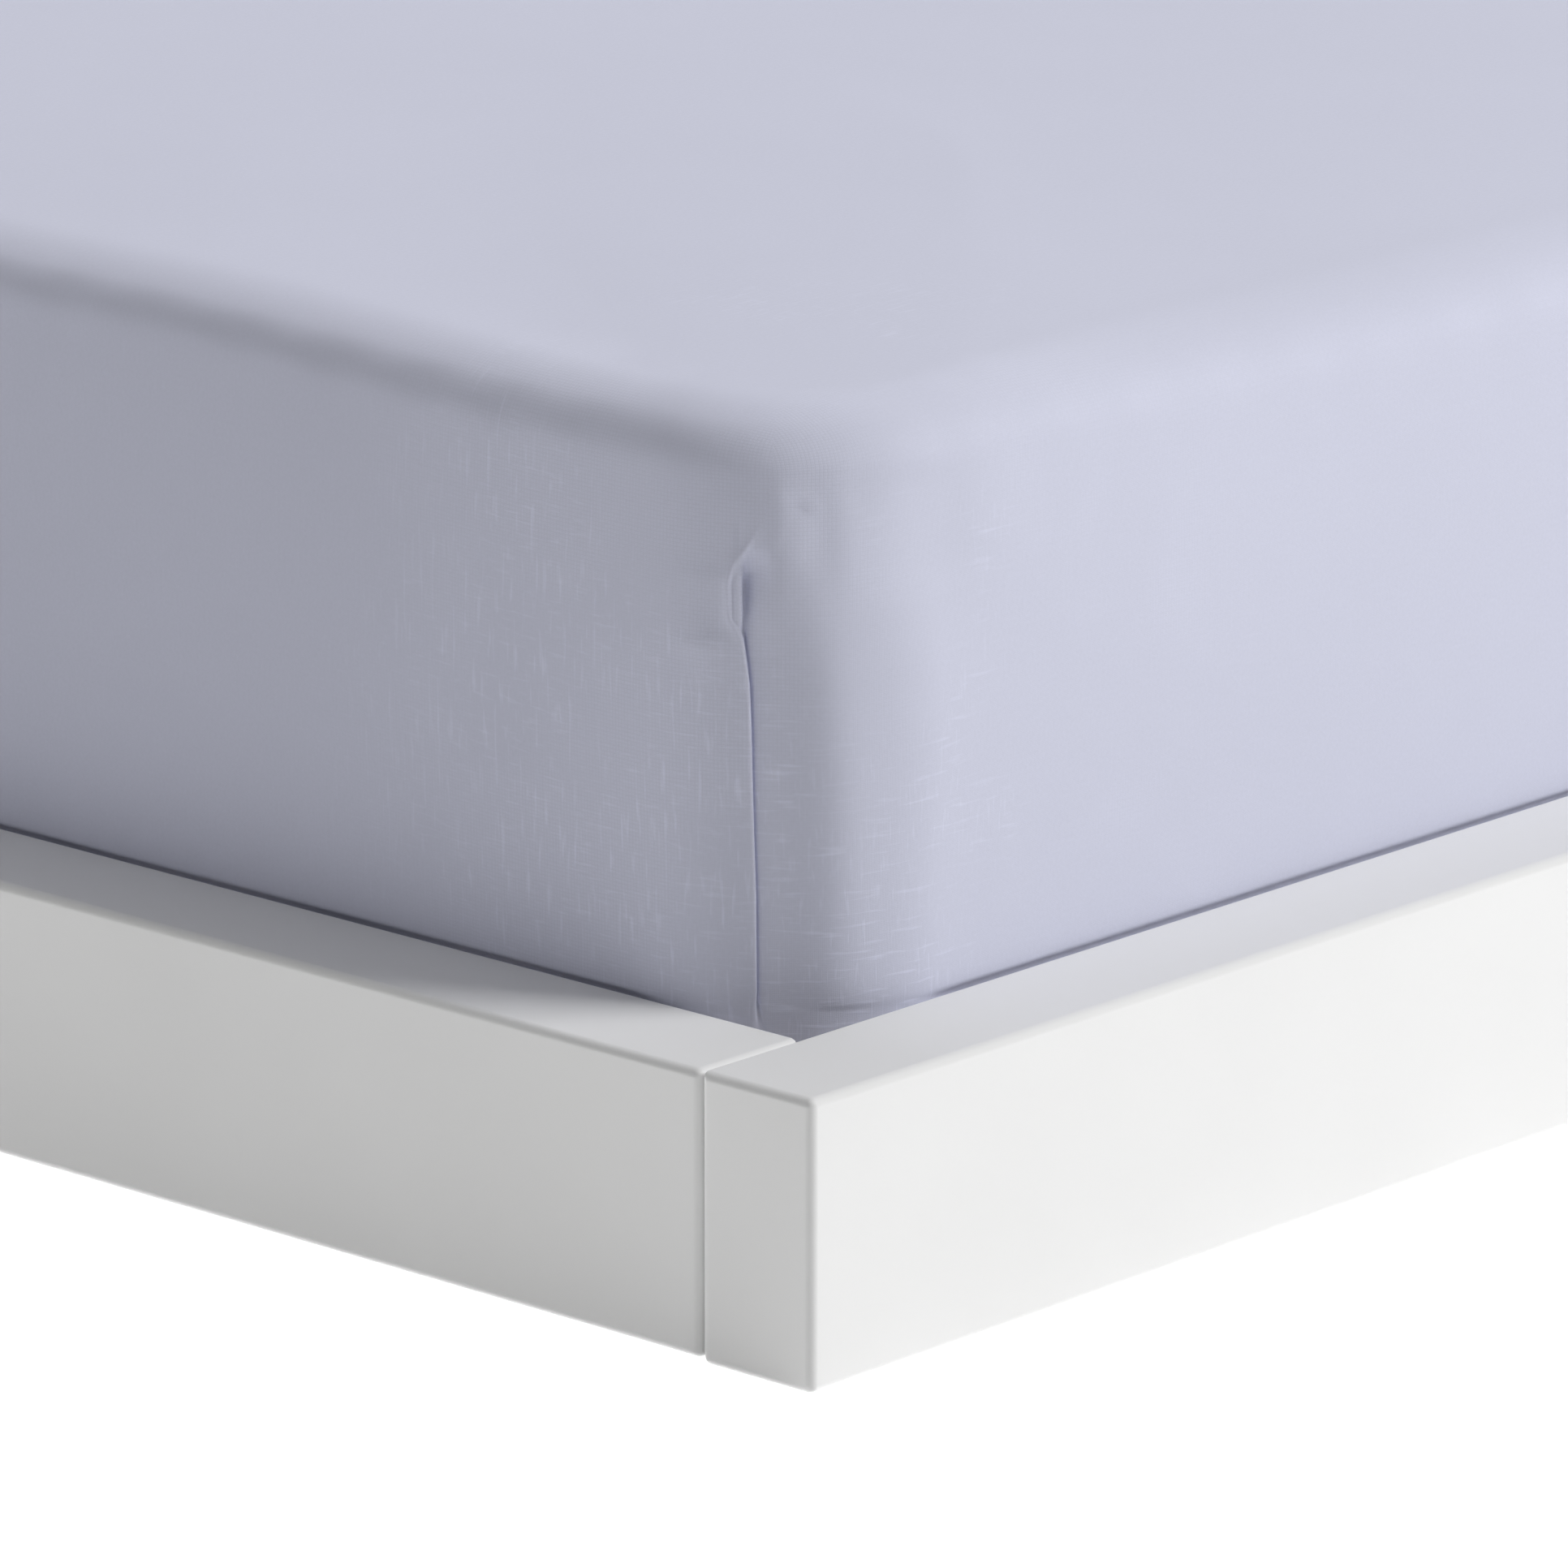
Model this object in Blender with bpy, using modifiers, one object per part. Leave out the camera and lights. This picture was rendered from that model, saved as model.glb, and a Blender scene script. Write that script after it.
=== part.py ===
"""A fitted sheet stretched over a single mattress, which lies in a low painted bed frame.

Metres, +Z up. X is the bed's width and Y its length, with the foot end at -Y. The origin is on
the floor under the middle of the bed.
"""

import math
from collections import namedtuple

import bmesh
import bpy
from mathutils import Vector

# Driving sizes: the sheet's outer surface.
SHEET_WIDTH = 0.905
SHEET_LENGTH = 2.005
SHEET_ABOVE_RAILS = 0.223
SHEET_SINK = 0.0316  # how far the sheet's underside lies below the rails' tops
SHEET_THICKNESS = 0.002
CORNER_RADIUS = 0.075
SHOULDER_RADIUS = 0.036
LOWER_RADIUS = 0.015
CROWN = 0.008
SIDE_BULGE = 0.002
HEM_WIDTH = 0.085

# The bed frame.
RAIL_HEIGHT = 0.110
RAIL_THICKNESS = 0.0535
SIDE_RAIL_LIFT = 0.0015
FRAME_CLEARANCE = 0.003
OUTER_ARRIS = 0.0035
INNER_ARRIS = 0.002
ARRIS_STEPS = 4
LEDGER_WIDTH = 0.025
LEDGER_HEIGHT = 0.030
SLAT_COUNT = 13
SLAT_WIDTH = 0.070
SLAT_THICKNESS = 0.018
SLAT_END_GAP = 0.002

# Touching pieces lie this far apart, and the mattress this far inside its sheet.
CONTACT_GAP = 0.0003
MATTRESS_GAP = 0.0007

# Worked out from these.
TOP = RAIL_HEIGHT + SHEET_ABOVE_RAILS
BOTTOM = RAIL_HEIGHT - SHEET_SINK
HALF_WIDTH = SHEET_WIDTH / 2
HALF_LENGTH = SHEET_LENGTH / 2
OPENING_X = HALF_WIDTH + FRAME_CLEARANCE
OPENING_Y = HALF_LENGTH + FRAME_CLEARANCE

# The corner dart, from its open tip down to the rails. The left panel laps over the corner and
# stands proud by its ridge. The angle is round the corner from the side face.
DartRow = namedtuple("DartRow", "above_rails angle ridge")
DART = (
    DartRow(0.178, 38.0, 0.0),
    DartRow(0.171, 34.5, 0.0016),
    DartRow(0.163, 31.5, 0.0030),
    DartRow(0.150, 31.0, 0.0026),
    DartRow(0.131, 31.5, 0.0018),
    DartRow(0.100, 33.0, 0.0014),
    DartRow(0.050, 34.0, 0.0011),
    DartRow(0.006, 34.2, 0.0010),
)

# Places round the corner arc, measured from the dart in degrees, with the share of the ridge there.
LapStation = namedtuple("LapStation", "from_dart share")
LAP = (
    LapStation(-7.5, 0.25),
    LapStation(-3.0, 0.9),
    LapStation(-0.9, 1.0),
    LapStation(0.9, 0.0),
    LapStation(4.5, 0.0),
)
ANGLES_BEFORE_LAP = (0.0, 12.0)
ANGLES_AFTER_LAP = (50.0, 60.0, 70.0, 80.0, 90.0)

CROWN_INSETS = (0.40, 0.25, 0.12, 0.06)
TOP_RADIUS_GROWTH = 0.35  # of the corner radius, for each metre further in across the top
TOP_RADIUS_SHARE = 0.6  # the most that the radius takes of a section's half width
SHOULDER_ANGLES = (0.0, 22.5, 45.0, 67.5, 90.0)
LOWER_ANGLES = (0.0, 45.0, 90.0)
FOOT_STATIONS = 3
SIDE_STATIONS = 6

# The stretched edge waves a little along its length.
WAVE_HEIGHT = 0.001
WAVE_LENGTH = 0.62

SHARP_ANGLE = math.radians(40)

Section = namedtuple("Section", "inset height")
Corner = namedtuple("Corner", "x_side y_side from_side_face")
CORNERS = (Corner(-1, -1, True), Corner(1, -1, False), Corner(1, 1, True), Corner(-1, 1, False))


def clear_scene():
    for obj in list(bpy.data.objects):
        bpy.data.objects.remove(obj, do_unlink=True)


def make_material(name, colour, roughness):
    material = bpy.data.materials.new(name)
    material.use_nodes = True
    shader = material.node_tree.nodes["Principled BSDF"]
    shader.inputs["Base Color"].default_value = (*colour, 1.0)
    shader.inputs["Roughness"].default_value = roughness
    return material


def add_object(name, bm, material, collection):
    mesh = bpy.data.meshes.new(name)
    bm.to_mesh(mesh)
    bm.free()
    mesh.materials.append(material)
    obj = bpy.data.objects.new(name, mesh)
    collection.objects.link(obj)
    return obj


def share_of_way(value, low, high):
    """0 at low and 1 at high."""
    return (value - low) / (high - low)


def dart_at(height):
    """(angle, ridge) of the corner dart at this height."""
    above = height - RAIL_HEIGHT
    if above >= DART[0].above_rails:
        return DART[0].angle, 0.0
    for upper, lower in zip(DART, DART[1:]):
        if above >= lower.above_rails:
            share = share_of_way(above, lower.above_rails, upper.above_rails)
            return (
                lower.angle + share * (upper.angle - lower.angle),
                lower.ridge + share * (upper.ridge - lower.ridge),
            )
    return DART[-1].angle, DART[-1].ridge


def crown_at(inset):
    """How far the top stands above its edge, this far in from the outline."""
    share = max(0.0, share_of_way(inset, SHOULDER_RADIUS, HALF_WIDTH))
    return CROWN * (1.0 - (1.0 - share) ** 2)


def bulge_at(height):
    share = share_of_way(height, BOTTOM + LOWER_RADIUS, TOP - SHOULDER_RADIUS)
    return SIDE_BULGE * math.sin(math.pi * min(1.0, max(0.0, share)))


def profile(depth):
    """The sections from the middle of the top to the underside, this deep inside the surface."""
    rows = [Section(inset, TOP - depth + crown_at(inset)) for inset in CROWN_INSETS]
    bend = SHOULDER_RADIUS - depth
    for angle in map(math.radians, SHOULDER_ANGLES):
        rows.append(
            Section(
                SHOULDER_RADIUS - bend * math.sin(angle),
                TOP - SHOULDER_RADIUS + bend * math.cos(angle),
            )
        )
    for row in DART:
        height = RAIL_HEIGHT + row.above_rails
        rows.append(Section(depth - bulge_at(height), height))
    bend = LOWER_RADIUS - depth
    for angle in map(math.radians, LOWER_ANGLES):
        rows.append(
            Section(
                LOWER_RADIUS - bend * math.cos(angle),
                BOTTOM + LOWER_RADIUS - bend * math.sin(angle),
            )
        )
    rows.append(Section(HEM_WIDTH, BOTTOM + depth))
    return rows


def radius_at(section):
    """The corner radius of a section: it shrinks over the edges and grows again across the top."""
    on_top = section.height > TOP - SHOULDER_RADIUS and section.inset > SHOULDER_RADIUS
    if on_top:
        further_in = section.inset - SHOULDER_RADIUS
        grown = CORNER_RADIUS - SHOULDER_RADIUS + TOP_RADIUS_GROWTH * further_in
        return min(grown, TOP_RADIUS_SHARE * (HALF_WIDTH - section.inset))
    return max(CORNER_RADIUS - section.inset, LOWER_RADIUS)


def corner_stations(height):
    """(angle, share of the ridge) round one corner, from the side face to the end face."""
    dart_angle = dart_at(height)[0]
    before = [(angle, 0.0) for angle in ANGLES_BEFORE_LAP]
    lap = [(dart_angle + station.from_dart, station.share) for station in LAP]
    after = [(angle, 0.0) for angle in ANGLES_AFTER_LAP]
    return before + lap + after


def outline(section, with_relief):
    """The closed outline of one section, as points that run anticlockwise seen from above."""
    radius = radius_at(section)
    centre_x = HALF_WIDTH - section.inset - radius
    centre_y = HALF_LENGTH - section.inset - radius
    ridge = dart_at(section.height)[1] if with_relief else 0.0
    corners = []
    for corner in CORNERS:
        stations = corner_stations(section.height)
        if not corner.from_side_face:
            stations.reverse()
        points = []
        for angle, share in stations:
            turn = math.radians(angle)
            reach = radius + ridge * share
            x = corner.x_side * (centre_x + reach * math.cos(turn))
            y = corner.y_side * (centre_y + reach * math.sin(turn))
            points.append(Vector((x, y, section.height)))
        corners.append(points)
    points = []
    for index, corner_points in enumerate(corners):
        following = corners[(index + 1) % len(corners)]
        points += corner_points
        steps = (FOOT_STATIONS if CORNERS[index].from_side_face else SIDE_STATIONS) + 1
        for step in range(1, steps):
            points.append(corner_points[-1].lerp(following[0], step / steps))
    if with_relief:
        lift_edge(points, section)
    return points


def lift_edge(points, section):
    """Lets the shoulder wave a little, outwards only, so that the sheet never thins."""
    over_shoulder = share_of_way(section.height, TOP - SHOULDER_RADIUS, TOP)
    if not 0.0 < over_shoulder <= 1.0 or section.inset > SHOULDER_RADIUS:
        return
    for point in points:
        wave = 0.5 + 0.5 * math.sin(math.tau * (point.x - point.y) / WAVE_LENGTH)
        point.z += WAVE_HEIGHT * over_shoulder * wave


def loft(outlines):
    """One closed body through these outlines, capped at both ends."""
    bm = bmesh.new()
    rings = [[bm.verts.new(point) for point in points] for points in outlines]
    for upper, lower in zip(rings, rings[1:]):
        for index, corner in enumerate(upper):
            beside = (index + 1) % len(upper)
            bm.faces.new((corner, lower[index], lower[beside], upper[beside]))
    bm.faces.new(rings[0])
    bm.faces.new(reversed(rings[-1]))
    bmesh.ops.recalc_face_normals(bm, faces=bm.faces)
    return bm


def add_sheet(collection):
    """The sheet: over the top, down the sides and turned under, then back along its inner face."""
    outer = [outline(row, True) for row in profile(0.0)]
    inner = [outline(row, False) for row in profile(SHEET_THICKNESS)]
    material = make_material("sheet_cotton", (0.56, 0.57, 0.68), 0.85)
    sheet = add_object("fitted_sheet", loft(outer + inner[::-1]), material, collection)
    sheet.data.shade_smooth()
    sheet.data.set_sharp_from_angle(angle=SHARP_ANGLE)


def add_mattress(collection):
    depth = SHEET_THICKNESS + MATTRESS_GAP
    rows = [outline(row, False) for row in profile(depth)]
    material = make_material("mattress_ticking", (0.80, 0.79, 0.76), 0.9)
    mattress = add_object("mattress", loft(rows), material, collection)
    mattress.data.shade_smooth()
    mattress.data.set_sharp_from_angle(angle=SHARP_ANGLE)


def box_mesh(low, high):
    """A box between two opposite corners."""
    bm = bmesh.new()
    bmesh.ops.create_cube(bm, size=1.0)
    low, high = Vector(low), Vector(high)
    bmesh.ops.scale(bm, vec=high - low, verts=bm.verts)
    bmesh.ops.translate(bm, vec=(low + high) / 2, verts=bm.verts)
    return bm


def add_rail(name, low, high, inward, material, collection):
    """A painted rail with rounded edges, the upper one next to the mattress rounded less."""
    bm = box_mesh(low, high)
    weights = bm.edges.layers.float.new("bevel_weight_edge")
    middle = (Vector(low) + Vector(high)) / 2
    for edge in bm.edges:
        place = (edge.verts[0].co + edge.verts[1].co) / 2 - middle
        beside_mattress = place.z > 0 and place.dot(Vector(inward)) > RAIL_THICKNESS / 4
        edge[weights] = INNER_ARRIS / OUTER_ARRIS if beside_mattress else 1.0
    rail = add_object(name, bm, material, collection)
    bevel = rail.modifiers.new("arris", "BEVEL")
    bevel.width = OUTER_ARRIS
    bevel.segments = ARRIS_STEPS
    bevel.limit_method = "WEIGHT"
    rail.data.shade_smooth()
    rail.data.set_sharp_from_angle(angle=SHARP_ANGLE)


def add_frame(collection):
    """End rails that run the full width, and side rails butted between them."""
    paint = make_material("white_lacquer", (0.86, 0.86, 0.85), 0.4)
    outer_x = OPENING_X + RAIL_THICKNESS
    outer_y = OPENING_Y + RAIL_THICKNESS
    for name, side in (("foot_rail", -1), ("head_rail", 1)):
        near, far = sorted((side * OPENING_Y, side * outer_y))
        low = (-outer_x, near, 0.0)
        high = (outer_x, far, RAIL_HEIGHT)
        add_rail(name, low, high, (0, -side, 0), paint, collection)
    reach = OPENING_Y - CONTACT_GAP
    for name, side in (("side_rail_left", -1), ("side_rail_right", 1)):
        near, far = sorted((side * OPENING_X, side * outer_x))
        low = (near, -reach, SIDE_RAIL_LIFT)
        high = (far, reach, RAIL_HEIGHT)
        add_rail(name, low, high, (-side, 0, 0), paint, collection)


def add_base(collection):
    """Two ledgers along the side rails, and the slats that lie on them under the mattress."""
    wood = make_material("base_wood", (0.62, 0.48, 0.31), 0.7)
    slat_top = BOTTOM - CONTACT_GAP
    slat_bottom = slat_top - SLAT_THICKNESS
    ledger_top = slat_bottom - CONTACT_GAP
    reach_y = OPENING_Y - SLAT_END_GAP
    for name, side in (("ledger_left", -1), ("ledger_right", 1)):
        outer = OPENING_X - CONTACT_GAP
        near, far = sorted((side * (outer - LEDGER_WIDTH), side * outer))
        low = (near, -reach_y, ledger_top - LEDGER_HEIGHT)
        add_object(name, box_mesh(low, (far, reach_y, ledger_top)), wood, collection)
    reach_x = OPENING_X - SLAT_END_GAP
    pitch = 2 * reach_y / SLAT_COUNT
    for index in range(SLAT_COUNT):
        middle = -reach_y + (index + 0.5) * pitch
        low = (-reach_x, middle - SLAT_WIDTH / 2, slat_bottom)
        high = (reach_x, middle + SLAT_WIDTH / 2, slat_top)
        add_object(f"slat_{index + 1:02d}", box_mesh(low, high), wood, collection)


def main():
    clear_scene()
    collection = bpy.data.collections.new("Fitted sheet on a bed")
    bpy.context.scene.collection.children.link(collection)
    add_sheet(collection)
    add_mattress(collection)
    add_frame(collection)
    add_base(collection)


main()
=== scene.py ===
"""A fitted sheet stretched over a mattress, which lies in a low painted bed frame.

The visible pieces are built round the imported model. Metres, +Z up. X is the bed's width and Y its
length, with the foot end at -Y. The origin is on the floor under the middle of the bed.
"""

import math
from collections import namedtuple

import bpy
from bpy.props import FloatProperty, FloatVectorProperty, PointerProperty
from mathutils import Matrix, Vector, noise


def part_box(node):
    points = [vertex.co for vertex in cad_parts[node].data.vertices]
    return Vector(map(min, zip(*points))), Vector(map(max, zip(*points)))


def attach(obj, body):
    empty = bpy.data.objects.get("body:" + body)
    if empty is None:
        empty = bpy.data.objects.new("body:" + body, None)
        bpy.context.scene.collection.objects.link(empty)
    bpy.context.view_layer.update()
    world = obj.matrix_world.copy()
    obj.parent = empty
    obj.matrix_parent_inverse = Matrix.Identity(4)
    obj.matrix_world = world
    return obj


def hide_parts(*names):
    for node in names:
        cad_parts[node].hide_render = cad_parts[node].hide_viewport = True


bl_info = {
    "name": "Fitted sheet on a bed",
    "version": (1, 0, 0),
    "blender": (4, 5, 0),
    "location": "View3D > Sidebar > Bed",
    "description": "Builds a fitted sheet, the mattress it is stretched over and the bed frame",
    "category": "Object",
}

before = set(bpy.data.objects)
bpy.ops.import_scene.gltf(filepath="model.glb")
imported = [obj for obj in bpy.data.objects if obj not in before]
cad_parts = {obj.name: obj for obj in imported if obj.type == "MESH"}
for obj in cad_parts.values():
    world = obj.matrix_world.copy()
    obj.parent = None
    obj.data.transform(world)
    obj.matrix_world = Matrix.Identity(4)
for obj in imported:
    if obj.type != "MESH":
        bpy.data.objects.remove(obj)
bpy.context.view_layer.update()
BODY = "root"
MM = 0.001

RAIL_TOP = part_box("foot_rail")[1].z
SLAT_NAMES = sorted(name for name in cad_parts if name.startswith("slat_"))


# --- Sizes and colours that a user would change ---


def length_property(name, default, description):
    return FloatProperty(
        name=name, description=description, default=default, min=0.0, unit="LENGTH", precision=4
    )


def power_property(name, default, description):
    return FloatProperty(name=name, description=description, default=default, min=0.0, unit="POWER")


def colour_property(name, default, description):
    return FloatVectorProperty(
        name=name, description=description, default=default, min=0.0, max=1.0, subtype="COLOR"
    )


class SheetSettings(bpy.types.PropertyGroup):
    width: length_property("Width", 0.905, "Across the stretched sheet, face to face")
    length: length_property("Length", 2.005, "Along the stretched sheet, face to face")
    top: length_property("Top", 0.333, "Height of the shoulder's upper end above the floor")
    underside: length_property("Underside", 0.0784, "Height of the turned-under hem")
    corner_radius: length_property("Corner radius", 0.075, "Of the upright corners")
    corner_edge: length_property("Edge at corners", 0.022, "Radius of the top edge at the corners")
    corner_roll: length_property("Roll at corners", 0.045, "Radius above the edge at the corners")
    side_edge: length_property("Edge at sides", 0.020, "Radius of the top edge along the sides")
    side_roll: length_property("Roll at sides", 0.051, "Radius above the edge along the sides")
    end_edge: length_property("Edge at ends", 0.024, "Radius of the top edge along the ends")
    end_roll: length_property("Roll at ends", 0.118, "Radius above the edge along the ends")
    lower_radius: length_property("Lower radius", 0.015, "Where the sheet turns under")
    crown: length_property("Crown", 0.008, "How far the middle stands above the corners")
    side_rise: length_property("Rise", 0.0068, "How far the long edges stand above the corners")
    end_fall: length_property("Fall", 0.0045, "How far the ends' edges lie below the corners")
    bulge: length_property("Bulge", 0.002, "How far the faces swell")
    tuck: length_property("Tuck", 0.0035, "How far the sheet draws in below the rails' edge")
    hem_width: length_property("Hem", 0.085, "How far the sheet reaches in under the mattress")
    yarn_pitch: length_property("Yarn pitch", 0.00048, "From one yarn to the next")
    colour: colour_property("Colour", (0.692, 0.707, 0.841), "Dyed cotton")


class MattressSettings(bpy.types.PropertyGroup):
    depth: length_property("Inside the sheet", 0.0072, "From the sheet's face to the mattress")
    corner_radius: length_property("Corner radius", 0.088, "Of the upright corners")
    edge_radius: length_property("Edge radius", 0.040, "Over the top edge")
    colour: colour_property("Colour", (0.78, 0.77, 0.73), "Mattress ticking")


class FrameSettings(bpy.types.PropertyGroup):
    outer_arris: length_property("Outer arris", 0.0035, "Rounding of the rails' edges")
    inner_arris: length_property("Inner arris", 0.0020, "Rounding of the edge by the mattress")
    board_arris: length_property("Board arris", 0.0015, "Rounding of the slats and ledgers")
    paint: colour_property("Paint", (0.857, 0.857, 0.855), "Satin lacquer")
    wood: colour_property("Wood", (0.640, 0.485, 0.310), "Planed softwood, the earlywood")
    dark_wood: colour_property("Grain", (0.470, 0.305, 0.160), "Planed softwood, the latewood")


class StudioSettings(bpy.types.PropertyGroup):
    floor_size: length_property("Floor", 30.0, "Side of the square floor")
    lens: FloatProperty(
        name="Lens", description="Focal length", default=249.17, unit="CAMERA", min=1.0
    )
    key_power: power_property("Key light", 430.0, "Power of the key light")
    fill_power: power_property("Fill light", 49.0, "Power of the fill light")
    rear_power: power_property("Rear fill", 50.0, "Power of the rear fill light")
    back_power: power_property("Back light", 64.0, "Power of the back light")
    floor_glow: FloatProperty(
        name="Floor glow", description="Light that the floor sends back", default=0.105, min=0.0
    )
    floor_gloss: FloatProperty(
        name="Floor in gloss", description="The floor's brightness in gloss", default=4.8, min=0.0
    )
    backdrop: colour_property("Backdrop", (1.0, 1.0, 1.0), "What the camera sees behind")


# --- Small helpers ---


def smooth(value, low, high):
    """0 at low and 1 at high, easing in and out."""
    share = min(1.0, max(0.0, (value - low) / (high - low)))
    return share * share * (3.0 - 2.0 * share)


def mix(first, second, share):
    return first + (second - first) * share


def between_rows(rows, height):
    """(upper row, lower row, share of the way down) at this height, the rows running downwards."""
    if height >= rows[0][0]:
        return rows[0], rows[0], 0.0
    for upper, lower in zip(rows, rows[1:]):
        if height >= lower[0]:
            return upper, lower, (upper[0] - height) / (upper[0] - lower[0])
    return rows[-1], rows[-1], 0.0


def curve_through(points, steps):
    """Points of a smooth curve that passes through these pairs, with steps to each interval."""
    made = []
    last = len(points) - 1
    for index in range(last):
        a, b, c, d = (points[min(last, max(0, index + step))] for step in (-1, 0, 1, 2))
        for step in range(steps):
            t = step / steps
            made.append(
                tuple(
                    0.5
                    * (
                        2 * b[axis]
                        + (c[axis] - a[axis]) * t
                        + (2 * a[axis] - 5 * b[axis] + 4 * c[axis] - d[axis]) * t * t
                        + (3 * b[axis] - a[axis] - 3 * c[axis] + d[axis]) * t**3
                    )
                    for axis in (0, 1)
                )
            )
    made.append(tuple(points[-1]))
    return made


def distance_to_path(place, path):
    """(distance, share of the way along) from a pair to the nearest point of a path of pairs."""
    best, best_share = 1e9, 0.0
    pieces = len(path) - 1
    for index, (start, end) in enumerate(zip(path, path[1:])):
        run = (end[0] - start[0], end[1] - start[1])
        to = (place[0] - start[0], place[1] - start[1])
        long = run[0] ** 2 + run[1] ** 2
        share = min(1.0, max(0.0, (to[0] * run[0] + to[1] * run[1]) / long)) if long else 0.0
        away = math.hypot(to[0] - share * run[0], to[1] - share * run[1])
        if away < best:
            best, best_share = away, (index + share) / pieces
    return best, best_share


# --- The sheet's form ---

# Below, "above" is a height above the rails in mm, and "arc" is a distance round an upright
# corner in mm, from where the side face ends towards the end face.

# The line of the dart's folded edge, as (above, arc).
DART_LINE = (
    (200.0, 50.0), (184.0, 47.6), (177.0, 44.2), (171.0, 41.2), (166.0, 39.6), (161.0, 39.6),
    (153.0, 39.7), (146.0, 39.8), (138.0, 40.3), (130.0, 41.3), (122.0, 42.2), (105.0, 42.8),
    (75.0, 43.4), (44.0, 44.2), (-20.0, 44.5),
)

# The cloth across the dart, as (distance past the folded edge, height above the plain corner) in
# mm. The side panel rolls over its edge and turns back under; then the end panel climbs out.
LAP_REACH = 9.0
LAP_CLOSED = (
    (-9.0, 0.25), (-6.5, 0.25), (-4.5, 0.22), (-3.0, 0.22), (-1.8, 0.28), (-0.9, 0.28),
    (-0.25, 0.05), (0.0, -0.30), (-0.25, -0.75), (-0.9, -1.15), (-1.3, -1.7), (-1.0, -2.3),
    (-0.2, -2.35), (0.45, -1.75), (1.2, -1.45), (2.6, -1.3), (5.0, -1.1), (9.0, -0.8),
)
LAP_OPEN = (
    (-9.0, 0.80), (-7.8, 1.00), (-6.7, 1.35), (-5.8, 1.85), (-5.0, 2.15), (-4.2, 1.65),
    (-3.4, 0.85), (-2.7, 0.70), (-1.9, 0.90), (-1.0, 0.45), (-0.2, -0.70), (-0.3, -2.2),
    (-0.7, -3.6), (0.1, -4.8), (1.4, -4.6), (3.0, -3.6), (5.2, -2.2), (9.0, -0.9),
)
LAP_MOUTH = (
    (-9.0, 0.20), (-7.6, 0.30), (-6.3, 0.50), (-5.2, 0.80), (-4.3, 1.30), (-3.4, 1.55),
    (-2.6, 1.15), (-1.8, 0.55), (-1.1, 0.05), (-0.4, -0.6), (0.2, -1.4), (0.7, -2.3), (1.4, -2.8),
    (2.4, -2.9), (3.7, -2.5), (5.2, -1.9), (7.0, -1.2), (9.0, -0.6),
)
LAP_RIDGE = (
    (-9.0, 0.0), (-7.9, 0.0), (-6.8, 0.0), (-5.7, 0.05), (-4.6, 0.15), (-3.5, 0.45), (-2.5, 1.00),
    (-1.6, 1.40), (-0.7, 1.20), (0.1, 0.50), (0.9, -0.15), (1.8, -0.55), (2.9, -0.75),
    (4.0, -0.70), (5.1, -0.50), (6.3, -0.25), (7.6, -0.05), (9.0, 0.0),
)
LAP_LAST = len(LAP_CLOSED) - 1
LAP_FLAT = tuple((mix(-LAP_REACH, LAP_REACH, k / LAP_LAST), 0.0) for k in range(LAP_LAST + 1))

# The lap's shape at each level, and how strongly it stands out there.
LapRow = namedtuple("LapRow", "above shape relief")
LAP_ROWS = (
    LapRow(182.0, LAP_FLAT, 1.0),
    LapRow(176.5, LAP_RIDGE, 0.30),
    LapRow(172.0, LAP_RIDGE, 1.0),
    LapRow(166.0, LAP_MOUTH, 1.0),
    LapRow(161.0, LAP_OPEN, 1.0),
    LapRow(154.0, LAP_OPEN, 0.95),
    LapRow(147.0, LAP_OPEN, 0.70),
    LapRow(139.0, LAP_CLOSED, 1.45),
    LapRow(120.0, LAP_CLOSED, 1.35),
    LapRow(95.0, LAP_CLOSED, 1.10),
    LapRow(60.0, LAP_CLOSED, 0.95),
    LapRow(6.0, LAP_CLOSED, 0.85),
    LapRow(-14.0, LAP_FLAT, 1.0),
)
LAP_STEPS = 3  # from one point of a lap's shape to the next
BEFORE_FADE, AFTER_FADE = 24.0, 15.0  # how far past the lap its ends level out, in mm

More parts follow.
